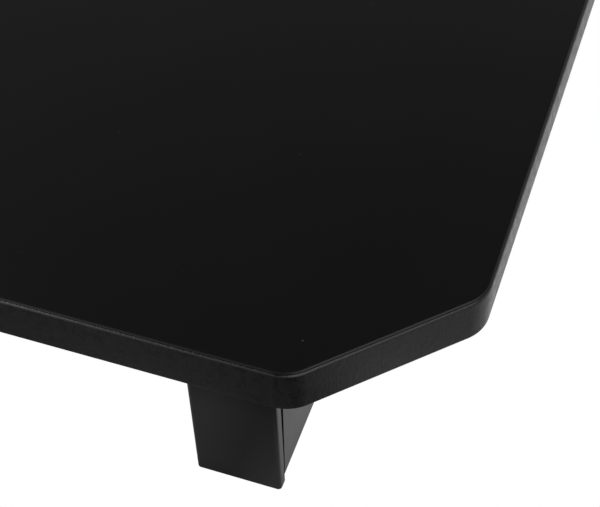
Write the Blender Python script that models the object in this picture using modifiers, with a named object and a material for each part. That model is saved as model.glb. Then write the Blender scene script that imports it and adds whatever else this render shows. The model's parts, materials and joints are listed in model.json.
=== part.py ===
"""Low stage riser: a laminated deck on two folded steel runners with moulded end caps.

Run with: blender --background --python part.py, or from Blender's text editor.
Units are metres. The origin is on the floor under the middle of the deck. +X is the
riser's right, -Y its front and +Z up. "Left" and "right" are as seen from the front.
"""
import math

import bmesh
import bpy
from mathutils import Matrix, Vector

FIT_GAP = 0.0003  # between two pieces that touch
MERGE = 0.0001

# Overall
RISER_HEIGHT = 0.1524
DECK_WIDTH = 1.000
DECK_DEPTH = 0.800
DECK_THICKNESS = 0.040
DECK_UNDERSIDE = RISER_HEIGHT - DECK_THICKNESS

# Deck plan: a rectangle with 45 degree corner cuts, every corner rounded
CORNER_CUT = 0.109
CORNER_RADIUS = 0.032
CORNER_STEPS = 5

# Deck layers, from the top down
TOP_SHEET = 0.0010
TOP_SHEET_INSET = 0.0010
BOTTOM_SHEET = 0.0010
BAND_THICKNESS = 0.0030
BAND_FOOT_BEVEL = 0.0003

# The deck's upper edge is rounded over both the sheet and the band, with a joint between
ARRIS_RADIUS = 0.0032
ARRIS_STEPS = 3
JOINT_ANGLE = math.radians(58)
JOINT_DEPTH = 0.0007

# Feet: one runner under each side, capped at both ends
FOOT_WIDTH = 0.0675
FOOT_SIDE_INSET = 0.1206
FOOT_FRONT_INSET = 0.0021
PAD_STANDOFF = 0.0010

# End caps
CAP_WALL = 0.0030
CAP_RETURN = 0.0091
CAP_CORNER_RADIUS = 0.0028
CAP_FOOT_RADIUS = 0.0010
SOLE_WIDTH = 0.056
SOLE_LENGTH = 0.062
TAB_WIDTH = 0.048
TAB_LENGTH = 0.046
CAP_SCREW_BACK = 0.034

# Pads
PAD_WIDTH = 0.042
PAD_LENGTH = 0.044
PAD_THICKNESS = 0.0030
PAD_BACK = 0.009

# Runners: lipped channels, open side down, with their ends cut back towards the top
STEEL = 0.0020
RUNNER_PROUD = 0.0003  # each side wall, past the caps' sides
RUNNER_LIFT = 0.0068
RUNNER_LIP = 0.014
FOLD_RADIUS = 0.0032
END_BACK_LOW = 0.0094
END_BACK_HIGH = 0.0130

# Cross rails and their brackets
RAIL_Y = 0.220
RAIL_WIDTH = 0.040
RAIL_HEIGHT = 0.025
RAIL_WALL = 0.0015
BRACKET_LEG = 0.040
BRACKET_WIDTH = 0.036
BRACKET_STEEL = 0.0025
BRACKET_RADIUS = 0.0030
RIVET_SPREAD = 0.010
RIVET_DROP = 0.022
BRACKET_SCREW_OUT = 0.026
RAIL_SCREW_IN = 0.110

# Bolts that hold the runners, and the inserts they screw into
BOLT_Y = (-0.320, -0.110, 0.110, 0.320)
BOLT_RADIUS = 0.0040
BOLT_FLANGE_RADIUS = 0.0085
BOLT_FLANGE = 0.0014
BOLT_HEAD_RADIUS = 0.0066
BOLT_HEAD = 0.0046
BOLT_LENGTH = 0.0180
HEX_RADIUS = 0.0029
HEX_DEPTH = 0.0026
INSERT_RADIUS = 0.0062
INSERT_FLANGE_RADIUS = 0.0090
INSERT_FLANGE = 0.0009
INSERT_LENGTH = 0.0150
INSERT_BORE = 0.0043
HOLE_PLAY = 0.0005

# Screws and rivets
SCREW_RADIUS = 0.0022
SCREW_HEAD_RADIUS = 0.0048
SCREW_HEAD = 0.0026
DRIVE_RADIUS = 0.0019
DRIVE_DEPTH = 0.0014
LONG_SCREW = 0.042
CAP_SCREW = 0.026
BRACKET_SCREW = 0.012
RIVET_RADIUS = 0.0024
RIVET_HEAD_RADIUS = 0.0046
RIVET_HEAD = 0.0013
RIVET_TAIL_RADIUS = 0.0033
RIVET_TAIL = 0.0035

HOLE_SIDES = 16
ROUND_STEPS = 16
SMALL_STEPS = 12

SIDES = (("left", -1.0), ("right", 1.0))
ENDS = (("front", -1.0), ("rear", 1.0))

FOOT_X = DECK_WIDTH / 2 - FOOT_SIDE_INSET - FOOT_WIDTH / 2
FOOT_FACE_Y = DECK_DEPTH / 2 - FOOT_FRONT_INSET
CAP_BOTTOM = PAD_STANDOFF
RUNNER_TOP = DECK_UNDERSIDE - FIT_GAP
RUNNER_BOTTOM = CAP_BOTTOM + RUNNER_LIFT
RUNNER_HALF_WIDTH = FOOT_WIDTH / 2 + RUNNER_PROUD
WEB_UNDERSIDE = RUNNER_TOP - STEEL
TAB_TOP = WEB_UNDERSIDE - FIT_GAP
TAB_UNDERSIDE = TAB_TOP - CAP_WALL
RAIL_TOP = DECK_UNDERSIDE - FIT_GAP
RAIL_UNDERSIDE = RAIL_TOP - RAIL_HEIGHT
RUNNER_INNER_X = FOOT_X - RUNNER_HALF_WIDTH
BRACKET_TOP = RAIL_UNDERSIDE - FIT_GAP


# ---------------------------------------------------------------- helpers

def clear_scene():
    for obj in list(bpy.data.objects):
        bpy.data.objects.remove(obj, do_unlink=True)


def make_collection(name):
    collection = bpy.data.collections.new(name)
    bpy.context.scene.collection.children.link(collection)
    return collection


def make_material(name, colour, roughness, metallic=0.0):
    material = bpy.data.materials.new(name)
    material.use_nodes = True
    shader = material.node_tree.nodes["Principled BSDF"]
    shader.inputs["Base Color"].default_value = (*colour, 1.0)
    shader.inputs["Roughness"].default_value = roughness
    shader.inputs["Metallic"].default_value = metallic
    return material


def place(name, mesh, material, location=(0.0, 0.0, 0.0), rotation=(0.0, 0.0, 0.0)):
    """Put a mesh in the riser's collection as a named part."""
    obj = bpy.data.objects.new(name, mesh)
    obj.location = location
    obj.rotation_euler = rotation
    obj.parent = riser
    if not mesh.materials:
        mesh.materials.append(material)
    parts.objects.link(obj)
    return obj


def shade_round(mesh):
    mesh.shade_smooth()
    mesh.set_sharp_from_angle(angle=math.radians(35))


def mesh_from(name, build):
    """Make a mesh from a function that fills a bmesh."""
    mesh = bpy.data.meshes.new(name)
    bm = bmesh.new()
    build(bm)
    bmesh.ops.recalc_face_normals(bm, faces=bm.faces)
    bm.to_mesh(mesh)
    bm.free()
    return mesh


def add_block(bm, low, high):
    size = [b - a for a, b in zip(low, high)]
    middle = [(a + b) / 2 for a, b in zip(low, high)]
    matrix = Matrix.Translation(middle) @ Matrix.Diagonal((*size, 1.0))
    bmesh.ops.create_cube(bm, size=1.0, matrix=matrix)


def block(name, low, high):
    return mesh_from(name, lambda bm: add_block(bm, low, high))


def add_hole(bm, centre, radius, depth, axis="Z", sides=HOLE_SIDES):
    """A cylinder centred on a point, to be cut out of a part."""
    turn = Matrix.Identity(4)
    if axis == "X":
        turn = Matrix.Rotation(math.pi / 2, 4, "Y")
    bmesh.ops.create_cone(bm, cap_ends=True, segments=sides, radius1=radius, radius2=radius,
                          depth=depth, matrix=Matrix.Translation(centre) @ turn)


def make_cutter(name, mesh):
    obj = bpy.data.objects.new(name, mesh)
    obj.hide_render = True
    obj.display_type = "WIRE"
    cutters.objects.link(obj)
    return obj


def boolean(part, tool, operation="DIFFERENCE"):
    modifier = part.modifiers.new(tool.name, "BOOLEAN")
    modifier.operation = operation
    modifier.solver = "EXACT"
    modifier.object = tool


def bevel(part, width, segments, limit="ANGLE"):
    modifier = part.modifiers.new("rounding", "BEVEL")
    modifier.width = width
    modifier.segments = segments
    modifier.limit_method = limit
    return modifier


def weigh_edges(mesh, wanted):
    """Mark for the Bevel modifier the edges whose two ends satisfy a test."""
    attribute = mesh.attributes.new("bevel_weight_edge", "FLOAT", "EDGE")
    for edge in mesh.edges:
        ends = [mesh.vertices[index].co for index in edge.vertices]
        if wanted(*ends):
            attribute.data[edge.index].value = 1.0


def evaluated_mesh(obj):
    """The object's mesh after its modifiers, in its own coordinates."""
    depsgraph = bpy.context.evaluated_depsgraph_get()
    return bpy.data.meshes.new_from_object(obj.evaluated_get(depsgraph))


def turned(name, profile, steps=ROUND_STEPS):
    """Turn a profile of (radius, height) points, listed from the top down, about Z."""
    mesh = bpy.data.meshes.new(name)
    bm = bmesh.new()
    points = [bm.verts.new((radius, 0.0, height)) for radius, height in profile]
    for upper, lower in zip(points, points[1:]):
        bm.edges.new((upper, lower))
    bm.to_mesh(mesh)
    bm.free()
    obj = bpy.data.objects.new(name, mesh)
    bpy.context.scene.collection.objects.link(obj)
    screw = obj.modifiers.new("turn", "SCREW")
    screw.steps = steps
    screw.render_steps = steps
    screw.use_merge_vertices = True
    screw.merge_threshold = MERGE / 10
    return obj


def finished(obj):
    """Apply an object's modifiers, drop the object and keep its mesh for the copies."""
    mesh = evaluated_mesh(obj)
    bpy.data.objects.remove(obj, do_unlink=True)
    shade_round(mesh)
    return mesh


# ---------------------------------------------------------------- deck

def round_corner(before, corner, after, radius):
    """Points of the arc that rounds one corner of an anticlockwise outline."""
    to_before = (before - corner).normalized()
    to_after = (after - corner).normalized()
    half_angle = to_before.angle(to_after) / 2
    bisector = (to_before + to_after).normalized()
    centre = corner + bisector * radius / math.sin(half_angle)
    start = corner + to_before * radius / math.tan(half_angle) - centre
    sweep = math.pi - 2 * half_angle
    points = []
    for step in range(CORNER_STEPS + 1):
        turn = Matrix.Rotation(sweep * step / CORNER_STEPS, 2)
        points.append(centre + turn @ start)
    return points


def deck_outline(inset):
    """The deck's plan, drawn in by an inset, anticlockwise."""
    half_x = DECK_WIDTH / 2 - inset
    half_y = DECK_DEPTH / 2 - inset
    cut = CORNER_CUT - inset * (2 - math.sqrt(2))
    right = [Vector((half_x - cut, -half_y)), Vector((half_x, cut - half_y)),
             Vector((half_x, half_y - cut)), Vector((half_x - cut, half_y))]
    corners = right + [-corner for corner in right]
    points = []
    for index, corner in enumerate(corners):
        before = corners[index - 1]
        after = corners[(index + 1) % len(corners)]
        points += round_corner(before, corner, after, CORNER_RADIUS - inset)
    return points


def poly_curve(name, points):
    """A closed flat curve through the points."""
    curve = bpy.data.curves.new(name, "CURVE")
    curve.dimensions = "2D"
    curve.render_resolution_u = 0
    spline = curve.splines.new("POLY")
    spline.points.add(len(points) - 1)
    for knot, (x, y) in zip(spline.points, points):
        knot.co = (x, y, 0.0, 1.0)
    spline.use_cyclic_u = True
    return curve


def curve_to_mesh(name, curve):
    """The curve's surface as a welded mesh."""
    obj = bpy.data.objects.new(name, curve)
    bpy.context.scene.collection.objects.link(obj)
    mesh = evaluated_mesh(obj)
    bpy.data.objects.remove(obj, do_unlink=True)
    bm = bmesh.new()
    bm.from_mesh(mesh)
    bmesh.ops.remove_doubles(bm, verts=bm.verts, dist=MERGE / 10)
    bmesh.ops.dissolve_limit(bm, angle_limit=math.radians(0.5), verts=bm.verts, edges=bm.edges)
    bmesh.ops.recalc_face_normals(bm, faces=bm.faces)
    bm.to_mesh(mesh)
    bm.free()
    return mesh


def deck_plate(name, inset, low, high, material):
    """One layer of the deck, between two heights above the deck's underside."""
    curve = poly_curve(name + "_outline", deck_outline(inset))
    curve.fill_mode = "BOTH"
    curve.extrude = (high - low) / 2
    mesh = curve_to_mesh(name, curve)
    return place(name, mesh, material, (0.0, 0.0, DECK_UNDERSIDE + (low + high) / 2))


def arris_point(angle):
    """A point on the rounded upper edge: how far in and how far down from the sharp edge."""
    return ARRIS_RADIUS * (1 - math.sin(angle)), ARRIS_RADIUS * (1 - math.cos(angle))


def round_over(mesh, start_angle):
    """Draw the top face in and up in steps, along the rounded edge to its tangent."""
    bm = bmesh.new()
    bm.from_mesh(mesh)
    top = max(bm.faces, key=lambda face: face.calc_center_median().z)
    inset, drop = arris_point(start_angle)
    for step in range(1, ARRIS_STEPS + 1):
        next_inset, next_drop = arris_point(start_angle * (1 - step / ARRIS_STEPS))
        bmesh.ops.inset_region(bm, faces=[top], thickness=next_inset - inset,
                               depth=drop - next_drop, use_even_offset=True, use_boundary=True)
        inset, drop = next_inset, next_drop
    bm.to_mesh(mesh)
    bm.free()


def make_top_sheet(material):
    """The sheet's own edge is the upper part of the rounded edge."""
    start_angle = math.asin(1 - TOP_SHEET_INSET / ARRIS_RADIUS)
    _, drop = arris_point(start_angle)
    low = DECK_THICKNESS - TOP_SHEET
    sheet = deck_plate("top_sheet", TOP_SHEET_INSET, low, DECK_THICKNESS - drop, material)
    round_over(sheet.data, start_angle)
    shade_round(sheet.data)


def make_deck_core(material):
    low = BOTTOM_SHEET + FIT_GAP
    high = DECK_THICKNESS - TOP_SHEET - FIT_GAP
    core = deck_plate("deck_core", BAND_THICKNESS + FIT_GAP, low, high, material)
    boolean(core, deck_holes)


def make_bottom_sheet(material):
    sheet = deck_plate("bottom_sheet", BAND_THICKNESS + FIT_GAP, 0.0, BOTTOM_SHEET, material)
    boolean(sheet, deck_holes)
    boolean(sheet, flange_holes)


def make_edge_band(material):
    """A moulded strip round the deck: the lower part of the rounded edge is its own."""
    top = DECK_THICKNESS - TOP_SHEET - FIT_GAP
    section = [(BAND_THICKNESS, 0.0), (BAND_THICKNESS, top), (TOP_SHEET_INSET + JOINT_DEPTH, top)]
    for step in range(ARRIS_STEPS + 1):
        angle = JOINT_ANGLE + (math.pi / 2 - JOINT_ANGLE) * step / ARRIS_STEPS
        inset, drop = arris_point(angle)
        section.append((inset, DECK_THICKNESS - drop))
    section += [(0.0, BAND_FOOT_BEVEL), (BAND_FOOT_BEVEL, 0.0)]
    profile = bpy.data.objects.new("band_section", poly_curve("band_section", section))
    bpy.context.scene.collection.objects.link(profile)
    path = poly_curve("band_path", deck_outline(0.0))
    path.bevel_mode = "OBJECT"
    path.bevel_object = profile
    mesh = curve_to_mesh("edge_band", path)
    bpy.data.objects.remove(profile, do_unlink=True)
    shade_round(mesh)
    place("edge_band", mesh, material, (0.0, 0.0, DECK_UNDERSIDE))


def bolt_places():
    return [(sign * FOOT_X, y) for _, sign in SIDES for y in BOLT_Y]


def cap_screw_places():
    y = FOOT_FACE_Y - CAP_SCREW_BACK
    return [(side * FOOT_X, end * y) for _, side in SIDES for _, end in ENDS]


def rail_screw_places():
    x = RUNNER_INNER_X - RAIL_SCREW_IN
    return [(side * x, end * RAIL_Y) for _, side in SIDES for _, end in ENDS]


def make_deck_hole_cutters():
    """Pockets for inserts and screws, blind from below, and recesses for insert flanges."""
    insert_top = DECK_UNDERSIDE + INSERT_LENGTH + 0.006
    screw_top = RAIL_UNDERSIDE + LONG_SCREW + 0.002
    cap_top = TAB_UNDERSIDE + CAP_SCREW + 0.002
    bottom = DECK_UNDERSIDE - 0.005

    def pockets(bm):
        wells = [(xy, INSERT_RADIUS + FIT_GAP, insert_top) for xy in bolt_places()]
        wells += [(xy, SCREW_RADIUS + FIT_GAP, screw_top) for xy in rail_screw_places()]
        wells += [(xy, SCREW_RADIUS + FIT_GAP, cap_top) for xy in cap_screw_places()]
        for (x, y), radius, top in wells:
            add_hole(bm, (x, y, (top + bottom) / 2), radius, top - bottom)

    def recesses(bm):
        for x, y in bolt_places():
            add_hole(bm, (x, y, DECK_UNDERSIDE), INSERT_FLANGE_RADIUS + FIT_GAP, 0.010)

    return (make_cutter("deck_holes", mesh_from("deck_holes", pockets)),
            make_cutter("flange_holes", mesh_from("flange_holes", recesses)))


# ---------------------------------------------------------------- runners and caps

def runner_end(height):
    """How far behind the foot's face the runner ends, at a height above the floor."""
    share = (height - RUNNER_BOTTOM) / (RUNNER_TOP - RUNNER_BOTTOM)
    return END_BACK_LOW + (END_BACK_HIGH - END_BACK_LOW) * share


def channel_mesh():
    """The lipped channel's outer surface, open along the slot between its lips."""
    lip_x = RUNNER_HALF_WIDTH - RUNNER_LIP
    section = [(-lip_x, RUNNER_BOTTOM), (-RUNNER_HALF_WIDTH, RUNNER_BOTTOM),
               (-RUNNER_HALF_WIDTH, RUNNER_TOP), (RUNNER_HALF_WIDTH, RUNNER_TOP),
               (RUNNER_HALF_WIDTH, RUNNER_BOTTOM), (lip_x, RUNNER_BOTTOM)]
    mesh = bpy.data.meshes.new("runner")
    bm = bmesh.new()
    rows = []
    for x, z in section:
        y = FOOT_FACE_Y - runner_end(z)
        rows.append((bm.verts.new((x, -y, z)), bm.verts.new((x, y, z))))
    for (front_a, rear_a), (front_b, rear_b) in zip(rows, rows[1:]):
        bm.faces.new((front_a, front_b, rear_b, rear_a))
    bm.to_mesh(mesh)
    bm.free()
    return mesh


def make_runner(side, sign, material):
    runner = place("runner_" + side, channel_mesh(), material, (sign * FOOT_X, 0.0, 0.0))
    bevel(runner, FOLD_RADIUS, 3).angle_limit = math.radians(45)
    solidify = runner.modifiers.new("sheet", "SOLIDIFY")
    solidify.thickness = STEEL
    solidify.offset = -1.0
    solidify.use_even_offset = True

    def holes(bm):
        web = (RUNNER_TOP + WEB_UNDERSIDE) / 2
        for x, y in bolt_places():
            add_hole(bm, (x, y, web), BOLT_RADIUS + HOLE_PLAY, 0.012)
        for x, y in cap_screw_places():
            add_hole(bm, (x, y, web), SCREW_RADIUS + HOLE_PLAY, 0.012)
        wall_x = sign * (RUNNER_INNER_X + STEEL / 2)
        for y, z in rivet_places():
            add_hole(bm, (wall_x, y, z), RIVET_RADIUS + FIT_GAP, 0.012, "X", SMALL_STEPS)

    name = "runner_holes_" + side
    boolean(runner, make_cutter(name, mesh_from(name, holes)))
    shade_round(runner.data)


def cap_mesh():
    """A front end cap, at the origin: its face is at y = 0 and it reaches back along +Y."""
    half = FOOT_WIDTH / 2
    top = DECK_UNDERSIDE - FIT_GAP
    shell = bpy.data.objects.new("cap", block("cap", (-half, 0.0, CAP_BOTTOM), (half, CAP_RETURN, top)))
    bpy.context.scene.collection.objects.link(shell)
    weigh_edges(shell.data, lambda a, b: a.y < MERGE and b.y < MERGE and abs(a.x - b.x) < MERGE)
    bevel(shell, CAP_CORNER_RADIUS, 3, "WEIGHT")
    inner = half - CAP_WALL
    pocket = make_cutter("cap_pocket", block(
        "cap_pocket", (-inner, CAP_WALL, CAP_BOTTOM + CAP_WALL), (inner, 0.050, top - CAP_WALL)))
    boolean(shell, pocket)
    overlap = CAP_WALL / 2
    sole = make_cutter("cap_sole", block(
        "cap_sole", (-SOLE_WIDTH / 2, overlap, CAP_BOTTOM),
        (SOLE_WIDTH / 2, SOLE_LENGTH, RUNNER_BOTTOM - FIT_GAP)))
    bevel(sole, CAP_FOOT_RADIUS, 1)
    boolean(shell, sole, "UNION")
    tab = make_cutter("cap_tab", block(
        "cap_tab", (-TAB_WIDTH / 2, overlap, TAB_UNDERSIDE), (TAB_WIDTH / 2, TAB_LENGTH, TAB_TOP)))
    boolean(shell, tab, "UNION")

    def recess(bm):
        pad_half = PAD_WIDTH / 2 + FIT_GAP
        add_block(bm, (-pad_half, PAD_BACK - FIT_GAP, -0.005),
                  (pad_half, PAD_BACK + PAD_LENGTH + FIT_GAP, PAD_THICKNESS + FIT_GAP))
        add_hole(bm, (0.0, CAP_SCREW_BACK, (TAB_TOP + TAB_UNDERSIDE) / 2),
                 SCREW_RADIUS + HOLE_PLAY, 0.010)

    boolean(shell, make_cutter("cap_recess", mesh_from("cap_recess", recess)))
    return finished(shell)


def make_caps(cap_material, pad_material):
    cap = cap_mesh()
    pad_object = bpy.data.objects.new("pad", block(
        "pad", (-PAD_WIDTH / 2, PAD_BACK, 0.0), (PAD_WIDTH / 2, PAD_BACK + PAD_LENGTH, PAD_THICKNESS)))
    bpy.context.scene.collection.objects.link(pad_object)
    bevel(pad_object, CAP_FOOT_RADIUS / 2, 1)
    pad = finished(pad_object)
    for side, side_sign in SIDES:
        for end, end_sign in ENDS:
            location = (side_sign * FOOT_X, end_sign * FOOT_FACE_Y, 0.0)
            turn = (0.0, 0.0, 0.0 if end_sign < 0 else math.pi)
            place(f"end_cap_{end}_{side}", cap, cap_material, location, turn)
            place(f"foot_pad_{end}_{side}", pad, pad_material, location, turn)


# ---------------------------------------------------------------- cross rails

def make_cross_rail(end, sign, material):
    """A rectangular tube between the runners, open at both ends."""
    half_length = RUNNER_INNER_X - FIT_GAP
    half_width = RAIL_WIDTH / 2
    name = "cross_rail_" + end
    tube = place(name, block(name, (-half_length, -half_width, RAIL_UNDERSIDE),
                             (half_length, half_width, RAIL_TOP)),
                 material, (0.0, sign * RAIL_Y, 0.0))
    weigh_edges(tube.data, lambda a, b: abs(a.x - b.x) > half_length)
    bevel(tube, RAIL_WALL, 2, "WEIGHT")

    def hollow(bm):
        inner = half_width - RAIL_WALL
        middle = sign * RAIL_Y
        add_block(bm, (-half_length - 0.01, middle - inner, RAIL_UNDERSIDE + RAIL_WALL),
                  (half_length + 0.01, middle + inner, RAIL_TOP - RAIL_WALL))

    def holes(bm):
        middle = (RAIL_TOP + RAIL_UNDERSIDE) / 2
        for x, y in rail_screw_places():
            add_hole(bm, (x, y, middle), SCREW_RADIUS + FIT_GAP, RAIL_HEIGHT + 0.010)
        for x, y in bracket_screw_places():
            add_hole(bm, (x, y, RAIL_UNDERSIDE), SCREW_RADIUS + FIT_GAP, 0.010)

    for label, fill in (("rail_hollow_", hollow), ("rail_holes_", holes)):
        boolean(tube, make_cutter(label + end, mesh_from(label + end, fill)))


def rivet_places():
    """The rivets through the runners' inner walls, as (y, z)."""
    z = BRACKET_TOP - RIVET_DROP
    return [(end * RAIL_Y + step * RIVET_SPREAD, z) for _, end in ENDS for step in (-1, 1)]


def bracket_screw_places():
    x = RUNNER_INNER_X - BRACKET_SCREW_OUT
    return [(side * x, end * RAIL_Y) for _, side in SIDES for _, end in ENDS]


def bracket_mesh():
    """An angle bracket: its corner is at the origin, its legs run along -X and -Z."""
    mesh = bpy.data.meshes.new("bracket")
    bm = bmesh.new()
    corners = [(-BRACKET_LEG, 0.0), (0.0, 0.0), (0.0, -BRACKET_LEG)]
    rows = []
    for x, z in corners:
        rows.append([bm.verts.new((x, y, z)) for y in (-BRACKET_WIDTH / 2, BRACKET_WIDTH / 2)])
    for (near_a, far_a), (near_b, far_b) in zip(rows, rows[1:]):
        bm.faces.new((near_a, near_b, far_b, far_a))
    bm.to_mesh(mesh)
    bm.free()
    obj = bpy.data.objects.new("bracket", mesh)
    bpy.context.scene.collection.objects.link(obj)
    bevel(obj, BRACKET_RADIUS, 3)
    solidify = obj.modifiers.new("sheet", "SOLIDIFY")
    solidify.thickness = BRACKET_STEEL
    solidify.offset = -1.0
    solidify.use_even_offset = True

    def holes(bm):
        for y in (-RIVET_SPREAD, RIVET_SPREAD):
            add_hole(bm, (0.0, y, -RIVET_DROP), RIVET_RADIUS + FIT_GAP, 0.012, "X", SMALL_STEPS)
        screw_x = FIT_GAP - BRACKET_SCREW_OUT
        add_hole(bm, (screw_x, 0.0, 0.0), SCREW_RADIUS + HOLE_PLAY, 0.012)

    boolean(obj, make_cutter("bracket_holes", mesh_from("bracket_holes", holes)))
    return finished(obj)


def make_brackets(material):
    mesh = bracket_mesh()
    for side, side_sign in SIDES:
        for end, end_sign in ENDS:
            x = side_sign * (RUNNER_INNER_X - FIT_GAP)
            turn = (0.0, 0.0, 0.0 if side_sign > 0 else math.pi)
            place(f"rail_bracket_{end}_{side}", mesh, material,
                  (x, end_sign * RAIL_Y, BRACKET_TOP), turn)


# ---------------------------------------------------------------- fasteners

def bolt_mesh():
    """A flanged button-head bolt, head down: z = 0 is under its flange."""
    crown = BOLT_FLANGE + BOLT_HEAD
    chamfer = BOLT_RADIUS * 0.2
    profile = [(0.0, BOLT_LENGTH), (BOLT_RADIUS - chamfer, BOLT_LENGTH),
               (BOLT_RADIUS, BOLT_LENGTH - chamfer), (BOLT_RADIUS, 0.0),
               (BOLT_FLANGE_RADIUS, 0.0), (BOLT_FLANGE_RADIUS, -BOLT_FLANGE * 0.6),
               (BOLT_HEAD_RADIUS, -BOLT_FLANGE)]
    for share in (0.35, 0.7, 1.0):
        across = BOLT_HEAD_RADIUS * math.cos(share * math.pi / 3)
        profile.append((across, -BOLT_FLANGE - BOLT_HEAD * math.sin(share * math.pi / 2)))
    profile.append((0.0, -crown))
    bolt = turned("bolt", profile)

    def socket(bm):
        add_hole(bm, (0.0, 0.0, -crown), HEX_RADIUS, 2 * HEX_DEPTH, sides=6)

    boolean(bolt, make_cutter("bolt_socket", mesh_from("bolt_socket", socket)))
    return finished(bolt)


def insert_mesh():
    """A flanged threaded insert with a through bore: z = 0 is its flange's face."""
    profile = [(INSERT_BORE, 0.0), (INSERT_BORE, INSERT_LENGTH), (INSERT_RADIUS, INSERT_LENGTH),
               (INSERT_RADIUS, INSERT_FLANGE), (INSERT_FLANGE_RADIUS, INSERT_FLANGE),
               (INSERT_FLANGE_RADIUS, 0.0), (INSERT_BORE, 0.0)]
    return finished(turned("insert", profile))


def screw_mesh(name, length):
    """A pan-head screw, head down: z = 0 is under its head."""
    point = SCREW_RADIUS * 2
    profile = [(0.0, length), (SCREW_RADIUS, length - point), (SCREW_RADIUS, 0.0),
               (SCREW_HEAD_RADIUS, 0.0), (SCREW_HEAD_RADIUS, -SCREW_HEAD * 0.4),
               (SCREW_HEAD_RADIUS * 0.72, -SCREW_HEAD), (0.0, -SCREW_HEAD)]
    screw = turned(name, profile, SMALL_STEPS)
    label = name + "_drive"

    def drive(bm):
        add_hole(bm, (0.0, 0.0, -SCREW_HEAD), DRIVE_RADIUS, 2 * DRIVE_DEPTH, sides=6)

    boolean(screw, make_cutter(label, mesh_from(label, drive)))
    return finished(screw)


def rivet_mesh():
    """A set blind rivet along Z: its head is above z = 0, and its tail grips the far side."""
    grip = BRACKET_STEEL + STEEL + 2 * FIT_GAP
    tail = -grip - FIT_GAP
    profile = [(0.0, RIVET_HEAD), (RIVET_HEAD_RADIUS * 0.6, RIVET_HEAD),
               (RIVET_HEAD_RADIUS, RIVET_HEAD * 0.35), (RIVET_HEAD_RADIUS, 0.0),
               (RIVET_RADIUS, 0.0), (RIVET_RADIUS, tail), (RIVET_TAIL_RADIUS, tail),
               (RIVET_TAIL_RADIUS, tail - RIVET_TAIL * 0.7), (RIVET_RADIUS, tail - RIVET_TAIL),
               (0.0, tail - RIVET_TAIL)]
    return finished(turned("rivet", profile, SMALL_STEPS))


def make_bolts(bolt_material, insert_material):
    bolt = bolt_mesh()
    insert = insert_mesh()
    for side, sign in SIDES:
        for number, y in enumerate(BOLT_Y, start=1):
            x = sign * FOOT_X
            place(f"runner_bolt_{side}_{number}", bolt, bolt_material,
                  (x, y, WEB_UNDERSIDE - FIT_GAP))
            place(f"threaded_insert_{side}_{number}", insert, insert_material,
                  (x, y, DECK_UNDERSIDE))


def make_screws(material):
    groups = (("cap_screw", CAP_SCREW, cap_screw_places(), TAB_UNDERSIDE),
              ("rail_screw", LONG_SCREW, rail_screw_places(), RAIL_UNDERSIDE),
              ("bracket_screw", BRACKET_SCREW, bracket_screw_places(), BRACKET_TOP - BRACKET_STEEL))
    labels = [f"{end}_{side}" for side, _ in SIDES for end, _ in ENDS]
    for name, length, places, seat in groups:
        mesh = screw_mesh(name, length)
        for label, (x, y) in zip(labels, places):
            place(f"{name}_{label}", mesh, material, (x, y, seat - FIT_GAP))


def make_rivets(material):
    mesh = rivet_mesh()
    for side, sign in SIDES:
        x = sign * (RUNNER_INNER_X - BRACKET_STEEL - 2 * FIT_GAP)
        turn = (0.0, -sign * math.pi / 2, 0.0)
        labels = [f"{end}_{side}_{number}" for end, _ in ENDS for number in (1, 2)]
        for label, (y, z) in zip(labels, rivet_places()):
            place("bracket_rivet_" + label, mesh, material, (x, y, z), turn)


# ---------------------------------------------------------------- assembly

clear_scene()
parts = make_collection("stage_riser")
cutters = make_collection("cutters")
riser = bpy.data.objects.new("riser_origin", None)
parts.objects.link(riser)

laminate = make_material("black_laminate", (0.008, 0.008, 0.0085), 0.42)
edging = make_material("black_edging", (0.012, 0.012, 0.0125), 0.45)
plywood = make_material("plywood_core", (0.48, 0.33, 0.19), 0.7)
backer = make_material("backer_film", (0.030, 0.024, 0.020), 0.55)
gloss_steel = make_material("gloss_black_steel", (0.010, 0.010, 0.011), 0.18)
satin_steel = make_material("satin_black_steel", (0.012, 0.012, 0.012), 0.45)
gloss_moulding = make_material("gloss_black_moulding", (0.010, 0.010, 0.011), 0.15)
rubber = make_material("pad_rubber", (0.020, 0.020, 0.020), 0.8)
black_zinc = make_material("black_zinc", (0.045, 0.045, 0.05), 0.38, 0.9)
bright_zinc = make_material("bright_zinc", (0.62, 0.62, 0.60), 0.32, 1.0)
aluminium = make_material("rivet_aluminium", (0.72, 0.72, 0.73), 0.35, 1.0)

deck_holes, flange_holes = make_deck_hole_cutters()
make_top_sheet(laminate)
make_deck_core(plywood)
make_bottom_sheet(backer)
make_edge_band(edging)
for side_name, side_sign in SIDES:
    make_runner(side_name, side_sign, gloss_steel)
make_caps(gloss_moulding, rubber)
for end_name, end_sign in ENDS:
    make_cross_rail(end_name, end_sign, satin_steel)
make_brackets(bright_zinc)
make_bolts(black_zinc, bright_zinc)
make_screws(black_zinc)
make_rivets(aluminium)
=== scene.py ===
"""Looks of the low stage riser: finer visible pieces, materials, light and camera."""
import json
import math

import bmesh
import bpy
from mathutils import Matrix, Vector

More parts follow.
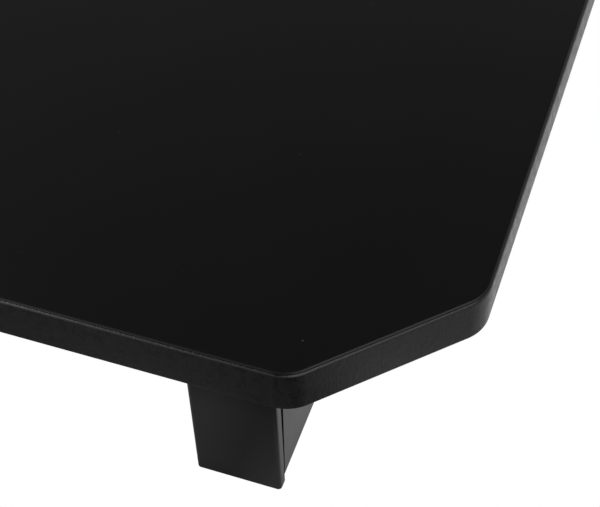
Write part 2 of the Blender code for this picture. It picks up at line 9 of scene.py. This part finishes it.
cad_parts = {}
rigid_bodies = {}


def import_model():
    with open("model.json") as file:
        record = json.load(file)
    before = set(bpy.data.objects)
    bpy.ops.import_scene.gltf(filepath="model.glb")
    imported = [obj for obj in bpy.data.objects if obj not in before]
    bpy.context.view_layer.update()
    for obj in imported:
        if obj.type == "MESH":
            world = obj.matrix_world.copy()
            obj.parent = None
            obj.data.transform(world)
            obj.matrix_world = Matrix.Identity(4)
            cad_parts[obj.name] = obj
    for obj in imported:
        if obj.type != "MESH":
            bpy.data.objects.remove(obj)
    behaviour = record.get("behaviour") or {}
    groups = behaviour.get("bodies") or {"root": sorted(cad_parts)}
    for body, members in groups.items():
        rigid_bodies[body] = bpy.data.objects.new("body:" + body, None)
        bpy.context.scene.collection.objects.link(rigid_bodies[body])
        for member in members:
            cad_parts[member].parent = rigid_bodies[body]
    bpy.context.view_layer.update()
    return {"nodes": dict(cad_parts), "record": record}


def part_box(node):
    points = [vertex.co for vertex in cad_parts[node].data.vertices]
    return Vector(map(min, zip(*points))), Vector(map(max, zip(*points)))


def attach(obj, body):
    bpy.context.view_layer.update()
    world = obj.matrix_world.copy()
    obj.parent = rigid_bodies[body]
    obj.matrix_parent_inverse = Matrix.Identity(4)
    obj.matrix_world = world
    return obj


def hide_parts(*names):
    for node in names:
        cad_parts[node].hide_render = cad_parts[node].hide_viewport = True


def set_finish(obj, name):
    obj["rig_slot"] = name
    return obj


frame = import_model()

MM = 0.001
BODY = "root"
SLOTS = {part["node"]: part["material_slot"] for part in frame["record"]["subparts"]}

# ---------------------------------------------------------------- sizes taken from the frame

TOP_LOW, TOP_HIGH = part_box("top_sheet")
BAND_LOW, BAND_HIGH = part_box("edge_band")
DECK_HALF_X = BAND_HIGH[0]
DECK_HALF_Y = BAND_HIGH[1]
DECK_UNDERSIDE = BAND_LOW[2]
DECK_TOP = TOP_HIGH[2]
DECK_THICKNESS = DECK_TOP - DECK_UNDERSIDE

# ---------------------------------------------------------------- mesh helpers

SHARP_ANGLE = math.radians(35)
BEVEL_ANGLE = math.radians(40)


def add_piece(name, mesh, node, location=(0.0, 0.0, 0.0), turn_y=0.0):
    """A finer piece that stands for a CAD node and rides on the body."""
    piece = bpy.data.objects.new(name, mesh)
    bpy.context.scene.collection.objects.link(piece)
    piece.location = location
    piece.rotation_euler.y = turn_y
    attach(piece, BODY)
    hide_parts(node)
    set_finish(piece, SLOTS[node])
    return piece


def mesh_of(name, bm):
    """A named mesh from a bmesh, smooth but for its sharp edges."""
    bmesh.ops.recalc_face_normals(bm, faces=bm.faces)
    mesh = bpy.data.meshes.new(name)
    bm.to_mesh(mesh)
    bm.free()
    mesh.shade_smooth()
    mesh.set_sharp_from_angle(angle=SHARP_ANGLE)
    return mesh


def loft(bm, rings, closed=True):
    """Join rings of vertices with quads."""
    for ring, following in zip(rings, rings[1:]):
        count = len(ring)
        for index in range(count if closed else count - 1):
            after = (index + 1) % count
            bm.faces.new((ring[index], ring[after], following[after], following[index]))


def soften(obj, width, segments=2):
    """Round an object's sharp edges a little."""
    bevel = obj.modifiers.new("soft_edges", "BEVEL")
    bevel.width = width
    bevel.segments = segments
    bevel.limit_method = "ANGLE"
    bevel.angle_limit = BEVEL_ANGLE
    bevel.harden_normals = True
    return obj


def paint(obj, material):
    obj.data.materials.clear()
    obj.data.materials.append(material)


# ---------------------------------------------------------------- deck

# The plan: each corner is cut back by CORNER_CUT along both sides, and both ends of the cut are rounded.
CORNER_CUT = 0.109
CORNER_RADIUS = 0.032
CORNER_STEPS = 14

# The upper edge is a quarter of an ellipse. The sheet covers it down to SHEET_ANGLE and the strip covers it
# from JOINT_ANGLE on, and what is between them shows as a fine line.
ARRIS_INSET = 0.0032
ARRIS_DROP = 0.0043
ARRIS_STEPS = 7
SHEET_ANGLE = math.radians(37)
JOINT_ANGLE = math.radians(46)

# The strip: its thickness, how far in its upper side starts, its lower edge, and the joint between its ends,
# which is BUTT_ALONG of the way along the front right cut.
BAND_THICKNESS = 0.0030
SEAT_INSET = 0.0014
LOWER_RADIUS = 0.0004
LOWER_STEPS = 3
BUTT_GAP = 0.00014
BUTT_ALONG = 0.46

# A row of vertices this far beyond a rounded edge keeps the flat face next to it looking flat.
SUPPORT = 0.0008


def plan_corners(inset):
    """The plan's corners before rounding, anticlockwise from the rear end of the front right cut."""
    half_x = DECK_HALF_X - inset
    half_y = DECK_HALF_Y - inset
    cut = CORNER_CUT - inset * (2 - math.sqrt(2))
    side = [Vector((half_x, cut - half_y)), Vector((half_x, half_y - cut)),
            Vector((half_x - cut, half_y)), Vector((cut - half_x, half_y))]
    return side + [-corner for corner in side]


def plan(inset):
    """The deck's plan drawn in by an inset, with its corners rounded."""
    corners = plan_corners(inset)
    radius = CORNER_RADIUS - inset
    points = []
    for index, corner in enumerate(corners):
        back = (corners[index - 1] - corner).normalized()
        ahead = (corners[(index + 1) % len(corners)] - corner).normalized()
        half_angle = back.angle(ahead) / 2
        centre = corner + (back + ahead).normalized() * radius / math.sin(half_angle)
        spoke = corner + back * radius / math.tan(half_angle) - centre
        sweep = math.pi - 2 * half_angle
        points += [centre + Matrix.Rotation(sweep * step / CORNER_STEPS, 2) @ spoke
                   for step in range(CORNER_STEPS + 1)]
    return points


def strip_plan(inset):
    """The plan as an open line whose two ends meet along the front right cut."""
    corners = plan_corners(inset)
    start, end = corners[-1], corners[0]
    butt = start.lerp(end, BUTT_ALONG)
    half_gap = (end - start).normalized() * BUTT_GAP / 2
    return [butt + half_gap, *plan(inset), butt - half_gap]


def arris(angle):
    """A point on the rounded upper edge, as (inset, height)."""
    return ARRIS_INSET * (1 - math.sin(angle)), DECK_TOP - ARRIS_DROP * (1 - math.cos(angle))


def make_deck_surface():
    """The top sheet, with its edge rolled over the upper part of the arris."""
    rows = [(arris(SHEET_ANGLE)[0], TOP_LOW[2])]
    rows += [arris(SHEET_ANGLE * (1 - step / ARRIS_STEPS)) for step in range(ARRIS_STEPS + 1)]
    rows.append((ARRIS_INSET + SUPPORT, DECK_TOP))
    bm = bmesh.new()
    rings = [[bm.verts.new((*point, height)) for point in plan(inset)] for inset, height in rows]
    loft(bm, rings)
    bm.faces.new(rings[0])
    bm.faces.new(rings[-1])
    return add_piece("deck_surface", mesh_of("deck_surface", bm), "top_sheet")


def make_edge_strip():
    """The moulded strip round the deck, whose two ends meet along the front right cut."""
    low = DECK_UNDERSIDE
    section = [(BAND_THICKNESS, low), (BAND_THICKNESS, BAND_HIGH[2]), (SEAT_INSET, BAND_HIGH[2])]
    for step in range(ARRIS_STEPS + 1):
        section.append(arris(JOINT_ANGLE + (math.pi / 2 - JOINT_ANGLE) * step / ARRIS_STEPS))
    section.append((0.0, DECK_TOP - ARRIS_DROP - SUPPORT))
    section.append((0.0, low + LOWER_RADIUS + SUPPORT))
    for step in range(LOWER_STEPS + 1):
        angle = math.pi / 2 * step / LOWER_STEPS
        section.append((LOWER_RADIUS * (1 - math.cos(angle)), low + LOWER_RADIUS * (1 - math.sin(angle))))
    bm = bmesh.new()
    rings = [[bm.verts.new((*point, height)) for point in strip_plan(inset)] for inset, height in section]
    rings.append(rings[0])
    loft(bm, rings, closed=False)
    for end in (0, -1):
        bm.faces.new([ring[end] for ring in rings[:-1]])
    return add_piece("edge_strip", mesh_of("edge_strip", bm), "edge_band")


# ---------------------------------------------------------------- rubber pads

PAD_RIBS = 9
PAD_GROOVE = 0.0007
PAD_EDGE = 0.00025

# The groove between two ribs, as (share of the pitch, share of the groove's depth).
RIB_PROFILE = ((0.16, 1.0), (0.24, 0.0), (0.76, 0.0), (0.84, 1.0))


def make_pad(node):
    """A rubber pad, ribbed underneath."""
    low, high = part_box(node)
    pitch = (high[1] - low[1]) / PAD_RIBS
    profile = []
    for rib in range(PAD_RIBS):
        start = low[1] + rib * pitch
        for share, height in RIB_PROFILE:
            profile.append((start + share * pitch, low[2] + height * PAD_GROOVE))
    profile[0] = (low[1], low[2])
    profile[-1] = (high[1], low[2])
    bm = bmesh.new()
    rings = []
    for x in (low[0], high[0]):
        ring = [bm.verts.new((x, y, z)) for y, z in profile]
        ring += [bm.verts.new((x, high[1], high[2])), bm.verts.new((x, low[1], high[2]))]
        rings.append(ring)
    loft(bm, rings)
    bm.faces.new(rings[0])
    bm.faces.new(rings[1])
    piece = add_piece("ribbed_" + node, mesh_of("ribbed_" + node, bm), node)
    return soften(piece, PAD_EDGE)


# ---------------------------------------------------------------- fasteners

BOLT_HEAD = 0.0060
SCREW_HEAD = 0.0026
RIVET_HEAD = 0.0013
BOLT_STEPS = 36
SCREW_STEPS = 30
RIVET_STEPS = 24
LOBE_DEPTH = 0.12


def six_sided(radius):
    """Radius of a hexagon, by angle."""
    def at(angle):
        return radius * math.cos(math.pi / 6) / math.cos((angle % (math.pi / 3)) - math.pi / 6)
    return at


def six_lobed(radius):
    """Radius of a six-lobed drive, by angle."""
    def at(angle):
        return radius * (1 - LOBE_DEPTH + LOBE_DEPTH * math.cos(6 * angle))
    return at


def lathe(name, rows, steps):
    """A mesh from rows of (radius or radius by angle, z), closed at both ends."""
    bm = bmesh.new()
    rings = []
    for radius, z in rows:
        ring = []
        for step in range(steps):
            angle = 2 * math.pi * step / steps
            reach = radius(angle) if callable(radius) else radius
            ring.append(bm.verts.new((reach * math.cos(angle), reach * math.sin(angle), z)))
        rings.append(ring)
    loft(bm, rings)
    bm.faces.new(rings[0])
    bm.faces.new(rings[-1])
    return mesh_of(name, bm)


def dome(radius, low, rise, flat, steps=5):
    """Rows of a low dome that grows towards -Z, from its rim to a flat crown."""
    rows = []
    for step in range(steps + 1):
        angle = math.pi / 2 * step / steps
        rows.append((flat + (radius - flat) * math.cos(angle), low - rise * math.sin(angle)))
    return rows


def bolt_rows():
    """A flanged button-head bolt, head down; z = 0 is under its flange."""
    crown = -BOLT_HEAD
    shank = [(0.0026, 0.0180), (0.0040, 0.0168), (0.0040, 0.0)]
    flange = [(0.0083, 0.0), (0.0085, -0.0003), (0.0085, -0.0009), (0.0082, -0.0013)]
    button = dome(0.0068, -0.0014, 0.0046, 0.0034)
    wall = six_sided(0.0029)
    socket = [(six_sided(0.0031), crown + 0.0001), (wall, crown + 0.0003), (wall, crown + 0.0026),
              (0.0004, crown + 0.0034)]
    return shank + flange + button + socket


def screw_rows(length):
    """A pan-head screw, head down; z = 0 is under its head."""
    crown = -SCREW_HEAD
    shank = [(0.0004, length), (0.0022, length - 0.0044), (0.0022, 0.0)]
    rim = [(0.0047, 0.0), (0.0048, -0.0002), (0.0048, -0.0008)]
    pan = dome(0.0047, -0.0010, 0.0016, 0.0028)
    wall = six_lobed(0.0020)
    drive = [(six_lobed(0.0021), crown + 0.0001), (wall, crown + 0.0002), (wall, crown + 0.0014),
             (0.0003, crown + 0.0016)]
    return shank + rim + pan + drive


def rivet_rows():
    """A blind rivet, its head down and its broken pin in the middle; z = 0 is under its head."""
    bulb = [(0.0005, 0.0086), (0.0024, 0.0084), (0.0033, 0.0076), (0.0033, 0.0051)]
    barrel = [(0.0024, 0.0051), (0.0024, 0.0)]
    rim = [(0.0045, 0.0), (0.0046, -0.0002)]
    head = dome(0.0045, -0.0003, 0.0010, 0.0017, 4)
    pin = [(0.0014, -0.0009), (0.0012, -0.0004), (0.0010, -0.0003), (0.0009, -0.0008), (0.0002, -0.0009)]
    return bulb + barrel + rim + head + pin


def make_fasteners():
    """Each turned fastener goes where the CAD's own one is, at its head's end."""
    bolt = lathe("bolt", bolt_rows(), BOLT_STEPS)
    screws = {}
    rivet = lathe("rivet", rivet_rows(), RIVET_STEPS)
    for node in sorted(frame["nodes"]):
        low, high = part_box(node)
        middle = (Vector(low) + Vector(high)) / 2
        if node.startswith("runner_bolt"):
            add_piece("turned_" + node, bolt, node, (middle.x, middle.y, low[2] + BOLT_HEAD))
        elif "_screw_" in node:
            length = round(high[2] - low[2] - SCREW_HEAD, 4)
            if length not in screws:
                screws[length] = lathe(f"screw_{round(length / MM)}", screw_rows(length), SCREW_STEPS)
            add_piece("turned_" + node, screws[length], node, (middle.x, middle.y, low[2] + SCREW_HEAD))
        elif node.startswith("bracket_rivet"):
            outward = 1.0 if middle.x > 0 else -1.0
            head_x = (low[0] if outward > 0 else high[0]) + outward * RIVET_HEAD
            add_piece("turned_" + node, rivet, node, (head_x, middle.y, middle.z), outward * math.pi / 2)


# ---------------------------------------------------------------- node trees

class Nodes:
    """Short calls that add nodes to the tree of a material or of the world."""

    def __init__(self, owner, coordinates="Object"):
        owner.use_nodes = True
        self.tree = owner.node_tree
        self.place = self.add("ShaderNodeTexCoord").outputs[coordinates]

    def set(self, node, socket, value):
        if isinstance(value, bpy.types.NodeSocket):
            self.tree.links.new(value, node.inputs[socket])
        else:
            node.inputs[socket].default_value = value

    def add(self, kind, **values):
        node = self.tree.nodes.new(kind)
        for key, value in values.items():
            if key in node.inputs:
                self.set(node, key, value)
            else:
                setattr(node, key, value)
        return node

    def split(self, vector):
        """The three parts of a vector."""
        return self.add("ShaderNodeSeparateXYZ", Vector=vector).outputs

    def stretched(self, scale):
        """The coordinates, scaled along each axis."""
        return self.add("ShaderNodeMapping", Vector=self.place, Scale=scale).outputs["Vector"]

    def noise(self, scale, detail=2.0, vector=None, roughness=0.5):
        node = self.add("ShaderNodeTexNoise", Scale=scale, Detail=detail, Roughness=roughness)
        self.set(node, "Vector", vector or self.place)
        return node.outputs["Fac"]

    def cells(self, scale, feature="F1", dimensions="3D"):
        node = self.add("ShaderNodeTexVoronoi", feature=feature, voronoi_dimensions=dimensions, Scale=scale)
        self.set(node, "Vector", self.place)
        return node

    def ranged(self, value, low, high, to_low, to_high):
        """A value's way from low to high, as a number from to_low to to_high that goes no further."""
        node = self.add("ShaderNodeMapRange")
        self.set(node, "Value", value)
        for key, number in (("From Min", low), ("From Max", high), ("To Min", to_low), ("To Max", to_high)):
            self.set(node, key, number)
        return node.outputs["Result"]

    def maths(self, operation, first, second):
        node = self.add("ShaderNodeMath", operation=operation)
        self.set(node, 0, first)
        self.set(node, 1, second)
        return node.outputs[0]

    def plus(self, first, second):
        return self.maths("ADD", first, second)

    def times(self, first, second):
        return self.maths("MULTIPLY", first, second)

    def measured(self, operation, vector, other):
        """One number from a vector and a fixed one: their distance, or their dot product."""
        node = self.add("ShaderNodeVectorMath", operation=operation)
        self.set(node, 0, vector)
        self.set(node, 1, other)
        return node.outputs["Value"]

    def mixed(self, factor, first, second):
        node = self.add("ShaderNodeMix", data_type="RGBA")
        self.set(node, "Factor", factor)
        for socket, value in ((6, first), (7, second)):
            linked = isinstance(value, bpy.types.NodeSocket)
            self.set(node, socket, value if linked else (*value, 1.0))
        return node.outputs[2]


class Coat(Nodes):
    """A material with a Principled shader."""

    def __init__(self, name, colour, roughness, metallic=0.0):
        self.material = bpy.data.materials.new(name)
        super().__init__(self.material)
        self.shader = self.tree.nodes["Principled BSDF"]
        self.set(self.shader, "Base Color", (*colour, 1.0))
        self.set(self.shader, "Roughness", roughness)
        self.set(self.shader, "Metallic", metallic)

    def bump(self, height, strength, distance):
        """One more layer of relief, on top of those already there."""
        node = self.add("ShaderNodeBump", Height=height, Strength=strength, Distance=distance)
        old = self.shader.inputs["Normal"]
        if old.is_linked:
            self.set(node, "Normal", old.links[0].from_socket)
        self.set(self.shader, "Normal", node.outputs["Normal"])


# ---------------------------------------------------------------- materials

def laminate():
    """Satin black sheet: a fine pebble, a slow change of sheen, and a few pale specks of dust."""
    m = Coat("satin_laminate", (0.0018, 0.0018, 0.0019), 0.36)
    sheen = m.ranged(m.noise(5.0, 4.0), 0.3, 0.7, 0.345, 0.375)
    rubbed = m.ranged(m.noise(34.0, 5.0, m.stretched((1.0, 0.25, 1.0)), 0.7), 0.62, 0.80, 0.0, 0.035)
    m.set(m.shader, "Roughness", m.plus(sheen, rubbed))
    speck = m.cells(15.0, dimensions="2D")
    size, chance, _ = m.split(speck.outputs["Color"])
    inside = m.maths("LESS_THAN", speck.outputs["Distance"], m.ranged(size, 0.0, 1.0, 0.004, 0.0125))
    spot = m.times(inside, m.maths("GREATER_THAN", chance, 0.35))
    haze = m.ranged(m.noise(3.0, 3.0), 0.35, 0.75, 0.0, 1.0)
    film = m.mixed(haze, (0.0016, 0.0016, 0.0017), (0.0024, 0.0024, 0.0025))
    m.set(m.shader, "Base Color", m.mixed(spot, film, (0.055, 0.055, 0.058)))
    m.bump(m.noise(1500.0), 0.10, 0.00025)
    m.bump(m.noise(420.0), 0.05, 0.0003)
    return m.material


def edging():
    """Moulded strip: upright ribs under a leathery grain, with a mottled sheen and a few scuffs."""
    m = Coat("grained_edging", (0.0060, 0.0060, 0.0062), 0.28)
    mottle = m.noise(150.0, 4.0, m.stretched((1.0, 1.0, 0.6)), 0.62)
    m.set(m.shader, "Roughness", m.ranged(mottle, 0.34, 0.66, 0.22, 0.38))
    m.bump(m.noise(760.0, 2.0, m.stretched((1.0, 1.0, 0.12))), 0.26, 0.0006)
    m.bump(m.noise(300.0, 3.0, m.stretched((1.0, 1.0, 0.6)), 0.55), 0.28, 0.0007)
    scuff = m.ranged(m.noise(48.0, 4.0, m.stretched((1.0, 1.0, 2.5)), 0.65), 0.64, 0.82, 0.0, 0.5)
    m.set(m.shader, "Base Color", m.mixed(scuff, (0.0052, 0.0052, 0.0054), (0.016, 0.016, 0.0165)))
    return m.material


def gloss_black(name, peel, roughness, colour=0.0035):
    """Black coat with a faint ripple, a little uneven in gloss, and a little dust."""
    black = (colour, colour, colour * 1.05)
    dusty = (colour * 3.0, colour * 3.0, colour * 3.0)
    m = Coat(name, black, roughness)
    m.set(m.shader, "Roughness", m.ranged(m.noise(14.0, 4.0), 0.3, 0.7, roughness * 0.8, roughness * 1.25))
    dust = m.ranged(m.noise(210.0, 5.0, roughness=0.7), 0.60, 0.85, 0.0, 0.6)
    m.set(m.shader, "Base Color", m.mixed(dust, black, dusty))
    m.bump(m.noise(190.0), peel, 0.0004)
    m.bump(m.noise(28.0), peel * 1.5, 0.0010)
    return m.material


def backer():
    """Phenolic film with the mesh of its press plate, and a little sanding dust."""
    m = Coat("phenolic_film", (0.020, 0.014, 0.011), 0.4)
    haze = m.ranged(m.noise(6.0, 5.0, roughness=0.65), 0.35, 0.75, 0.0, 1.0)
    m.set(m.shader, "Base Color", m.mixed(haze, (0.016, 0.011, 0.009), (0.030, 0.023, 0.018)))
    m.set(m.shader, "Roughness", m.ranged(haze, 0.0, 1.0, 0.36, 0.52))
    press = m.cells(330.0, feature="SMOOTH_F1", dimensions="2D").outputs["Distance"]
    m.bump(press, 0.35, 0.0005)
    m.bump(m.noise(900.0), 0.08, 0.0003)
    return m.material


def birch_ply():
    """Thin veneers seen on edge, light and dark in turn."""
    m = Coat("birch_ply", (0.48, 0.33, 0.19), 0.7)
    layers = m.add("ShaderNodeTexWave", bands_direction="Z", Scale=115.0, Distortion=0.6, Detail=2.0)
    m.set(layers, "Vector", m.place)
    fibre = m.noise(320.0, 4.0, m.stretched((0.08, 1.0, 1.0)))
    wood = m.mixed(layers.outputs["Fac"], (0.30, 0.18, 0.09), (0.55, 0.40, 0.25))
    m.set(m.shader, "Base Color", m.mixed(m.ranged(fibre, 0.4, 0.7, 0.0, 0.6), wood, (0.40, 0.27, 0.15)))
    m.bump(fibre, 0.3, 0.0004)
    return m.material


def rubber():
    """Moulded rubber: dull, pitted and a little dusty."""
    m = Coat("pad_rubber", (0.014, 0.014, 0.014), 0.8)
    dust = m.ranged(m.noise(160.0, 5.0, roughness=0.7), 0.45, 0.75, 0.0, 1.0)
    m.set(m.shader, "Base Color", m.mixed(dust, (0.012, 0.012, 0.012), (0.034, 0.032, 0.030)))
    m.set(m.shader, "Roughness", m.ranged(dust, 0.0, 1.0, 0.68, 0.9))
    m.bump(m.noise(1400.0, 3.0), 0.35, 0.0003)
    return m.material


def plated(name, light, dark, roughness, grain):
    """Metal whose tone changes from flake to flake."""
    m = Coat(name, light, roughness, 1.0)
    tone, _, _ = m.split(m.cells(grain).outputs["Color"])
    cloud = m.times(tone, m.ranged(m.noise(60.0, 4.0), 0.35, 0.65, 0.3, 1.0))
    m.set(m.shader, "Base Color", m.mixed(cloud, light, dark))
    m.set(m.shader, "Roughness", m.ranged(cloud, 0.0, 1.0, roughness * 0.8, roughness * 1.35))
    m.bump(m.noise(900.0, 3.0), 0.08, 0.0002)
    return m.material


def looks_by_slot():
    return {
        "laminate": laminate(),
        "edging": edging(),
        "backer": backer(),
        "core": birch_ply(),
        "gloss_steel": gloss_black("gloss_powder_coat", 0.07, 0.14),
        "satin_steel": gloss_black("satin_powder_coat", 0.16, 0.34, 0.0060),
        "gloss_moulding": gloss_black("gloss_moulding", 0.05, 0.13),
        "pad_rubber": rubber(),
        "zinc_plate": plated("zinc_plate", (0.58, 0.58, 0.55), (0.40, 0.41, 0.40), 0.36, 240.0),
        "black_screw": plated("black_zinc", (0.055, 0.055, 0.060), (0.030, 0.030, 0.033), 0.34, 700.0),
        "rivet_aluminium": plated("rivet_aluminium", (0.72, 0.72, 0.73), (0.58, 0.58, 0.60), 0.34, 500.0),
    }


# ---------------------------------------------------------------- the object

SHEET_EDGE = 0.0004
MOULDED_EDGE = 0.0008
MOULDED_SEGMENTS = 3

make_deck_surface()
make_edge_strip()
make_fasteners()
for node in frame["nodes"]:
    if node.startswith("foot_pad"):
        make_pad(node)
    elif node.startswith("end_cap"):
        soften(bpy.data.objects[node], MOULDED_EDGE, MOULDED_SEGMENTS)
    elif node.startswith(("runner_left", "runner_right", "cross_rail", "rail_bracket")):
        soften(bpy.data.objects[node], SHEET_EDGE)

looks = looks_by_slot()
for piece in bpy.context.scene.objects:
    if piece.name in frame["nodes"]:
        paint(piece, looks[SLOTS[piece.name]])
    elif piece.get("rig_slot"):
        paint(piece, looks[piece["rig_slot"]])


# ---------------------------------------------------------------- floor

FLOOR_REACH = 12.0
WHITE_DROP = 0.0005
LIGHT_DROP = 0.001

# Dim patches of the floor ahead of the front right corner. Each has its centre (in coordinates scaled by
# PATCH_SCALE, which makes it long from front to back), how far its dimmest part reaches, how far all of it
# reaches, and the share of light left in the middle.
PATCH_SCALE = (1.0, 0.4, 1.0)
DIM_PATCHES = (
    ((0.42, -0.248), 0.04, 0.20, 0.35),
    ((0.462, -0.198), 0.0, 0.07, 0.0),
)


def add_floor(name, drop):
    """A flat sheet just under the riser, with a node tree of its own."""
    mesh = bpy.data.meshes.new(name)
    bm = bmesh.new()
    bmesh.ops.create_grid(bm, x_segments=1, y_segments=1, size=FLOOR_REACH)
    bm.to_mesh(mesh)
    bm.free()
    floor = bpy.data.objects.new(name, mesh)
    bpy.context.scene.collection.objects.link(floor)
    floor.location.z = -drop
    material = bpy.data.materials.new(name)
    mesh.materials.append(material)
    return floor, Nodes(material)


def make_white_floor():
    """What the camera sees: plain white from above, clear from below, and no part of the light."""
    floor, m = add_floor("floor_white", WHITE_DROP)
    mix = m.add("ShaderNodeMixShader")
    m.set(mix, "Fac", m.add("ShaderNodeNewGeometry").outputs["Backfacing"])
    m.set(mix, 1, m.add("ShaderNodeEmission", Strength=1.0).outputs[0])
    m.set(mix, 2, m.add("ShaderNodeBsdfTransparent").outputs[0])
    m.set(m.tree.nodes["Material Output"], "Surface", mix.outputs[0])
    floor.visible_diffuse = False
    floor.visible_glossy = False
    floor.visible_shadow = False


def light_by_place(m):
    """How brightly each part of the floor shines, which the riser's upright faces mirror."""
    across, depth, _ = m.split(m.place)
    corner = m.times(m.ranged(depth, -0.48, -0.38, 0.0, 0.44),
                     m.times(m.ranged(across, 0.34, 0.39, 0.26, 1.07),
                             m.times(m.ranged(across, 0.40, 0.49, 1.0, 1.3),
                                     m.ranged(across, 0.485, 0.57, 1.0, 0.32))))
    ridge = m.maths("MINIMUM", m.ranged(across, 0.10, 0.30, 0.03, 0.18),
                    m.ranged(across, 0.30, 0.34, 0.18, 0.10))
    fall = m.times(m.ranged(depth, -0.50, -0.455, 0.0, 1.0), m.ranged(depth, -0.45, -0.40, 1.0, 0.5))
    ridge = m.plus(ridge, m.ranged(across, 0.365, 0.385, 0.0, 0.14))
    fall = m.times(fall, m.ranged(depth, -0.41, -0.39, 1.0, 0.0))
    edge = m.times(m.times(ridge, fall), m.ranged(across, 0.43, 0.47, 1.0, 0.0))
    behind = m.ranged(depth, -0.33, -0.20, 0.07, 0.25)
    far = m.plus(m.ranged(across, -0.05, 0.25, 1.5, 0.2), m.ranged(across, 0.50, 0.80, 0.0, 0.8))
    ahead = m.times(m.ranged(depth, -0.80, -0.54, 0.72, 0.0), m.ranged(depth, -1.10, -0.75, far, 1.0))
    right = m.times(m.ranged(across, 0.54, 0.72, 0.0, 0.9), m.ranged(depth, -0.52, -0.40, 1.0, 0.0))
    share = m.plus(m.plus(m.plus(corner, edge), behind), m.plus(ahead, right))
    for centre, near, reach, least in DIM_PATCHES:
        gap = m.measured("DISTANCE", m.stretched(PATCH_SCALE), (*centre, 0.0))
        share = m.times(share, m.ranged(gap, near, reach, least, 1.0))
    return share


def make_lit_floor():
    """What the riser sees: it gives light and reflections, and is hidden from the camera."""
    floor, m = add_floor("floor_light", LIGHT_DROP)
    glow = m.add("ShaderNodeEmission", Strength=light_by_place(m))
    m.set(m.tree.nodes["Material Output"], "Surface", glow.outputs[0])
    floor.visible_camera = False


# ---------------------------------------------------------------- light and camera

# The direction in front of the riser that is kept dark, because its front faces mirror it.
DARK_AHEAD = (0.05, -0.9987, 0.0)


def make_world():
    """Bright in front of the riser, dark above and behind it, where its top looks; white to the camera."""
    world = bpy.data.worlds.new("studio")
    bpy.context.scene.world = world
    m = Nodes(world, "Generated")
    side, depth, rise = m.split(m.place)
    dim = m.ranged(m.measured("DOT_PRODUCT", m.place, DARK_AHEAD), 0.87, 0.955, 1.0, 0.05)
    middle = m.plus(m.ranged(side, -0.40, -0.22, 1.5, 0.12), m.ranged(side, 0.15, 0.45, 0.0, 0.88))
    sides = m.times(middle, m.ranged(side, 0.74, 0.82, 1.0, 0.65))
    front = m.times(m.times(m.ranged(rise, 0.0, 0.9, 1.8, 0.2), dim), sides)
    back = m.ranged(rise, 0.05, 0.62, 0.9, 0.05)
    front_share = m.ranged(depth, 0.05, 0.40, 1.0, 0.0)
    back_share = m.ranged(depth, 0.05, 0.40, 0.0, 1.0)
    light = m.plus(m.times(front, front_share), m.times(back, back_share))
    seen = m.add("ShaderNodeLightPath").outputs["Is Camera Ray"]
    background = m.tree.nodes["Background"]
    m.set(background, "Strength", m.maths("MAXIMUM", seen, light))
    m.set(background, "Color", (1.0, 1.0, 1.0, 1.0))


def softbox(name, place, aim, side, radiance):
    """A square area light that the camera doesn't see, given by its brightness."""
    data = bpy.data.lights.new(name, "AREA")
    data.shape = "SQUARE"
    data.size = side
    data.energy = radiance * math.pi * side * side
    light = bpy.data.objects.new(name, data)
    bpy.context.scene.collection.objects.link(light)
    light.location = place
    light.rotation_euler = (Vector(aim) - Vector(place)).to_track_quat("-Z", "Y").to_euler()
    light.visible_camera = False


# The camera's place, from the deck's front right corner (before it is cut) in deck thicknesses.
CAMERA_FROM_CORNER = Vector((2.626, -13.374, 21.152))
CAMERA_TURN = math.radians(20.751)
CAMERA_DROP = math.radians(49.6255)
CAMERA_ROLL = math.radians(-2.084)
LENS_MM = 88.61
SENSOR_MM = 36.0


def make_camera():
    """A camera that looks down at the front right corner."""
    data = bpy.data.cameras.new("camera")
    data.lens = LENS_MM
    data.sensor_width = SENSOR_MM
    camera = bpy.data.objects.new("camera", data)
    bpy.context.scene.collection.objects.link(camera)
    corner = Vector((DECK_HALF_X, -DECK_HALF_Y, DECK_UNDERSIDE))
    turn = (Matrix.Rotation(CAMERA_TURN, 4, "Z") @ Matrix.Rotation(math.pi / 2 - CAMERA_DROP, 4, "X")
            @ Matrix.Rotation(CAMERA_ROLL, 4, "Z"))
    camera.matrix_world = Matrix.Translation(corner + CAMERA_FROM_CORNER * DECK_THICKNESS) @ turn
    bpy.context.scene.camera = camera


make_white_floor()
make_lit_floor()
make_world()
make_camera()
softbox("overhead_right", place=(1.20, -0.50, 1.45), aim=(0.5, -0.4, 0.15), side=1.0, radiance=0.9)
softbox("front_left", place=(-0.90, -1.70, 0.35), aim=(0.2, -0.4, 0.15), side=0.7, radiance=3.3)
bpy.context.scene.view_settings.view_transform = "Standard"
bpy.context.scene.view_settings.look = "None"
